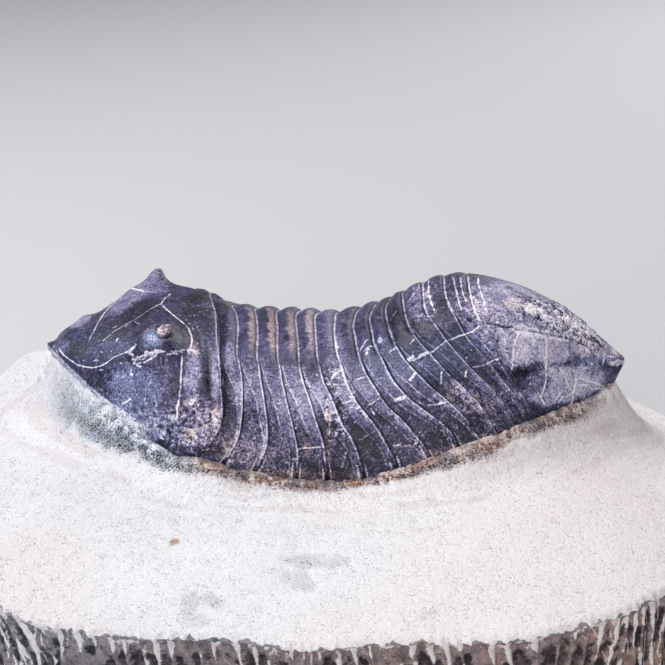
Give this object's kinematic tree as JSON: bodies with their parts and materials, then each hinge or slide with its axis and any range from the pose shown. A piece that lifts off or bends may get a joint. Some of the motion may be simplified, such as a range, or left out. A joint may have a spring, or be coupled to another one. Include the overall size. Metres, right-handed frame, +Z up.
{
  "type": "trilobite fossil on matrix",
  "caption": "Large smooth trilobite fossil, flexed with raised head and tail, resting on a domed block of sandy limestone matrix.",
  "frame": {"origin": "on the flat underside of the block, below the middle of the fossil", "axes": "+X along the fossil from snout to tail, +Y towards the fossil's right side, +Z up"},
  "size_m": [0.2028, 0.1475, 0.0798],
  "materials": {
    "shell": "petrified shell, dull satin with pale calcite veins",
    "rock": "matt, granular, abraded top with a dark broken wall"
  },
  "bodies": {
    "root": {"trilobite": "shell", "matrix": "rock"}
  },
  "joints": []
}
